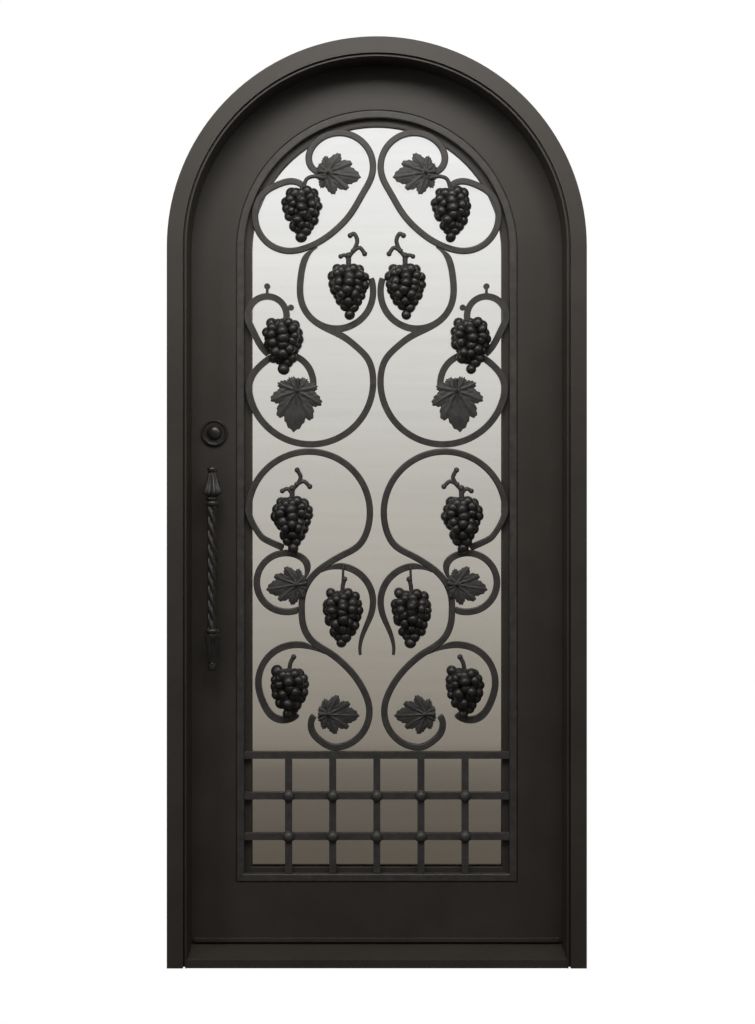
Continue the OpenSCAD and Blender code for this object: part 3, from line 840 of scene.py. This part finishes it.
# Forged balls on the lattice's lower crossings
def makeLatticeBalls(s, tree):
    lo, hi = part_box("lattice_grid")
    midX, front = (lo.x + hi.x) / 2, (lo.y + hi.y) / 2 - s["halfBar"]
    bm = bmesh.new()
    for z in s["rows"]:
        for i in range(s["columns"]):
            bm.verts.new((midX + (i - (s["columns"] - 1) / 2) * s["pitch"], front + s["sunk"], z))
    o = meshObject("latticeBalls", bm)
    growBalls(o, tree, s["radius"], 0, 1, wroughtIron)
    seat(o, "leaf")


# Bunches and their tendrils for both halves
def makeGrapes(s, tree):
    for side, sign in sides.items():
        draw = random.Random(s["seed"])
        bm = bmesh.new()
        stems = bmesh.new()
        for index, part in enumerate(looseParts(f"grapes_{side}")):
            points, top, highest = bunchPoints(part, s, lambda: draw.uniform(-1, 1))
            for p in points:
                bm.verts.new(p)
            for line, radius in tendrils.get(index, ()):
                route = [(top.x + sign * x, top.y - 0.006, top.z + z) for x, z in line]
                addTube(stems, route, [radius] * len(route), s["knob"])
            if index == s["hanging"]:
                hanger = [(top.x, top.y - 0.004, top.z), (top.x + sign * 0.002, top.y - 0.004, highest)]
                addTube(stems, hanger, [0.0034, 0.0026])
        o = meshObject(f"grapes_{side}_berries", bm)
        seed = s["seed"] if sign > 0 else s["seed"] + 1
        growBalls(o, tree, s["berry"], s["sizeSpread"], seed, castGrape)
        seat(o, "leaf", [f"grapes_{side}"])
        outward(stems)
        t = meshObject(f"tendrils_{side}", stems, smooth=True)
        t.data.materials.append(castLeaf)
        seat(t, "leaf")


leafSettings = {
    # (turn from the tip, share of the reach, half width in degrees)
    "lobes": ((0, 1.0, 33), (31, 0.80, 27), (-31, 0.80, 27), (66, 0.69, 31), (-66, 0.69, 31),
              (106, 0.51, 36), (-106, 0.51, 36), (143, 0.38, 36), (-143, 0.38, 36)),
    "sinus": 0.36,         # depth of the notches, as a share of the reach
    "teeth": 40,
    "tooth": 0.045,        # size of a tooth, as a share of the reach
    "around": 204,         # points round the edge, and rings from the joint out to it
    "out": 12,
    "thick": 0.004,
    "vein": 0.0021,        # height of the main ribs
    "quilt": 0.0016,       # height of the swelling between them
    # each leaf from the top down: turn of its tip, reach, and its stem joint from the tip (left half)
    "places": ((352, 0.076, (-0.0745, 0.0035)), (265, 0.094, (0.0052, 0.0944)),
               (190, 0.071, (0.0700, 0.0125)), (357, 0.071, (-0.0705, -0.0008))),
}


# Distance of the leaf's edge from its stem joint, as a share of the reach
def leafRadius(a, s):
    deg = math.degrees(a)
    best = s["sinus"]
    for centre, reach, width in s["lobes"]:
        off = abs((deg - centre + 180) % 360 - 180)
        best = max(best, reach * (1 - 0.50 * (off / width) ** 1.35))
    tooth = abs(((deg / 360 * s["teeth"]) % 1) - 0.5) * 2
    notch = 1 - 0.55 * math.exp(-((abs(deg) - 180) / 9) ** 2)
    return (best + s["tooth"] * (tooth - 0.5)) * notch


# Height of the leaf's face over its back: ribs along the lobes, with side ribs, and quilting between
def leafHeight(x, z, share, s):
    h = s["thick"]
    for centre, reach, width in s["lobes"]:
        c, d = math.cos(math.radians(centre)), math.sin(math.radians(centre))
        along, across = x * c + z * d, abs(-x * d + z * c)
        if 0 < along < reach:
            h += s["vein"] * math.exp(-(across / 0.030) ** 2) * (1 - 0.6 * along / reach)
            rib = ((along * 6.5 - across * 5.5) % 1) - 0.5
            near = math.exp(-(across / 0.24) ** 2)
            h += s["vein"] * 0.45 * math.exp(-(rib / 0.13) ** 2) * near * (across > 0.03)
    h += s["quilt"] * (noise.noise(Vector((x * 3.1, z * 3.1, 0.7))) + 0.8 * (0.5 - abs(share - 0.55)))
    return h - s["thick"] * 0.55 * share ** 5


def addLeaf(bm, part, turn, reach, joint, sign, s):
    back = max(c.y for c in part)
    spin = math.radians(turn)
    cosT, sinT = math.cos(spin), math.sin(spin)
    flat = []
    for i in range(s["around"]):
        a = -math.pi + 2 * math.pi * i / s["around"]
        r = leafRadius(a, s)
        flat.append((r * math.cos(a), r * math.sin(a)))

    def place(x, z):
        return (sign * (x * cosT - z * sinT), x * sinT + z * cosT)
    ahead = Vector((sign * cosT, 0, sinT))
    tip = max(part, key=lambda c: c.dot(ahead))
    midX, midZ = tip.x + sign * joint[0], tip.z + joint[1]

    def vert(x, z, h):
        px, pz = place(x, z)
        return bm.verts.new((midX + reach * px, back - h, midZ + reach * pz))
    rings = []
    for k in range(1, s["out"] + 1):
        share = k / s["out"]
        inner = [(x * share, z * share) for x, z in flat]
        rings.append([vert(x, z, leafHeight(x, z, share, s)) for x, z in inner])
    centre = vert(0, 0, leafHeight(0.001, 0, 0, s))
    hub = vert(0, 0, 0)
    under = [vert(x, z, 0.0006) for x, z in flat]
    n = s["around"]
    for i in range(n):
        j = (i + 1) % n
        bm.faces.new((centre, rings[0][i], rings[0][j]))
        for low, high in zip(rings, rings[1:]):
            bm.faces.new((low[i], high[i], high[j], low[j]))
        bm.faces.new((rings[-1][i], under[i], under[j], rings[-1][j]))
        bm.faces.new((under[i], hub, under[j]))
    stem = [place(x, z) for x, z in ((-0.26, 0.0), (-0.16, 0.01), (0.0, 0.0), (0.30, 0))]
    addTube(bm, [(midX + reach * x, back - 0.0045, midZ + reach * z) for x, z in stem],
            [0.0052, 0.0048, 0.0036, 0.0016])


def makeLeaves(s):
    for side, sign in sides.items():
        bm = bmesh.new()
        for part, (turn, reach, joint) in zip(looseParts(f"vine_leaves_{side}"), s["places"]):
            addLeaf(bm, part, turn, reach, joint, sign, s)
        outward(bm)
        o = meshObject(f"vineLeaves_{side}", bm)
        smoothByAngle(o, 55)
        o.data.materials.append(castLeaf)
        seat(o, "leaf", [f"vine_leaves_{side}"])


pullSettings = {
    "radius": 0.012,
    "posts": (0.048, 0.050),      # over the grip's top and under its bottom
    "screwDrop": 0.079,   # of the screw under the grip's bottom
    "rings": 112,         # along the grip
    "strands": 4,
    "lead": 0.126,        # height in which a strand goes once round
    "groove": 0.34,       # depth between the strands, as a share of the radius
    "bellFlutes": 16,
    "steps": 64,
    # (height over the grip's top, radius, flute depth)
    "top": ((0, 0.0118, 0), (0.0015, 0.0150, 0), (0.0085, 0.0150, 0), (0.010, 0.0118, 0),
            (0.0125, 0.0122, 0), (0.014, 0.0150, 0), (0.0175, 0.0150, 0), (0.019, 0.0112, 0),
            (0.0215, 0.0130, 0.05), (0.0245, 0.0190, 0.14), (0.029, 0.0209, 0.16),
            (0.036, 0.0196, 0.15), (0.047, 0.0155, 0.14), (0.060, 0.0118, 0.12), (0.073, 0.0090, 0.08),
            (0.0755, 0.0086, 0.02), (0.077, 0.0104, 0), (0.081, 0.0112, 0), (0.085, 0.0106, 0),
            (0.0885, 0.0070, 0), (0.090, 0.0010, 0)),
    # (depth under the grip's bottom, radius, flute depth)
    "bottom": ((0, 0.0118, 0), (0.0015, 0.0150, 0), (0.008, 0.0150, 0), (0.0095, 0.0122, 0),
               (0.012, 0.0122, 0), (0.0135, 0.0172, 0.04), (0.020, 0.0174, 0.16), (0.033, 0.0146, 0.16),
               (0.055, 0.0116, 0.12), (0.074, 0.0094, 0.06), (0.080, 0.0084, 0), (0.083, 0.0094, 0),
               (0.091, 0.0092, 0), (0.0945, 0.0062, 0), (0.095, 0.0010, 0)),
    "screw": ((0.006, 0.0036, 0), (0.0098, 0.0036, 0), (0.0112, 0.0026, 0), (0.0117, 0.0008, 0)),
    "post": ((0, 0.0070, 0), (0.010, 0.0074, 0), (0.034, 0.0074, 0), (0.0410, 0.0080, 0),
             (0.043, 0.0104, 0), (0.0455, 0.0110, 0), (0.0479, 0.0110, 0)),
}


# A whole handle on an upright axis, its posts running to the leaf along y
def addPull(bm, axis, low, high, towardsLeaf, s):
    def twist(z):
        return -2 * math.pi * z / s["lead"]

    at = Matrix.Translation((axis.x, axis.y, 0))
    rows = []
    for k in range(s["rings"] + 1):
        z = low - 0.001 + (high - low + 0.002) * k / s["rings"]
        rows.append((z, s["radius"], s["groove"]))
    addTurned(bm, at, rows, s["steps"], s["strands"], twist, sharp=True)
    top = [(high + z, r, d) for z, r, d in eased(s["top"], 3)]
    addTurned(bm, at, top, s["steps"], s["bellFlutes"])
    bottom = [(low - z, r, d) for z, r, d in eased(s["bottom"], 3)]
    addTurned(bm, at, bottom, s["steps"], s["bellFlutes"])
    for z in (high + s["posts"][0], low - s["posts"][1]):
        post = Matrix.Translation((axis.x, axis.y, z)) @ Matrix.Rotation(-towardsLeaf * math.pi / 2, 4, "X")
        addTurned(bm, post, eased(s["post"], 2), 32)
    screw = Matrix.Translation((axis.x, axis.y, low - s["screwDrop"])) @ Matrix.Rotation(
        towardsLeaf * math.pi / 2, 4, "X")
    addTurned(bm, screw, s["screw"], 24)


def makePulls(s):
    lo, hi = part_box("pull_grip")
    axis = (lo + hi) / 2
    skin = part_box("leaf_skin_outside")[0].y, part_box("leaf_skin_inside")[1].y
    inside = Vector((axis.x, skin[0] + skin[1] - axis.y, 0))
    for name, place, way, replaced in (
            ("pullOutside", axis, 1, ["pull_grip", "pull_top_mount", "pull_bottom_mount"]),
            ("pullInside", inside, -1, ["pull_handle_inside"])):
        bm = bmesh.new()
        addPull(bm, place, lo.z, hi.z, way, s)
        outward(bm)
        o = meshObject(name, bm)
        smoothByAngle(o, 40)
        o.data.materials.append(hardwareIron)
        seat(o, "leaf", replaced)


makeCamera(viewSettings)
for name, lamp in studio["lamps"].items():
    areaLamp(name, *lamp)
makeWorld()
makeFloor()
print("stage: studio set")
makeFrame(edgeWork)
makeWorkedPieces(edgeWork)
print("stage: frame, leaf and bars worked")
balls = berryTree()
makeGrapes(grapeSettings, balls)
makeLatticeBalls(latticeBalls, balls)
makeLeaves(leafSettings)
makePulls(pullSettings)
print("stage: castings and handles made")
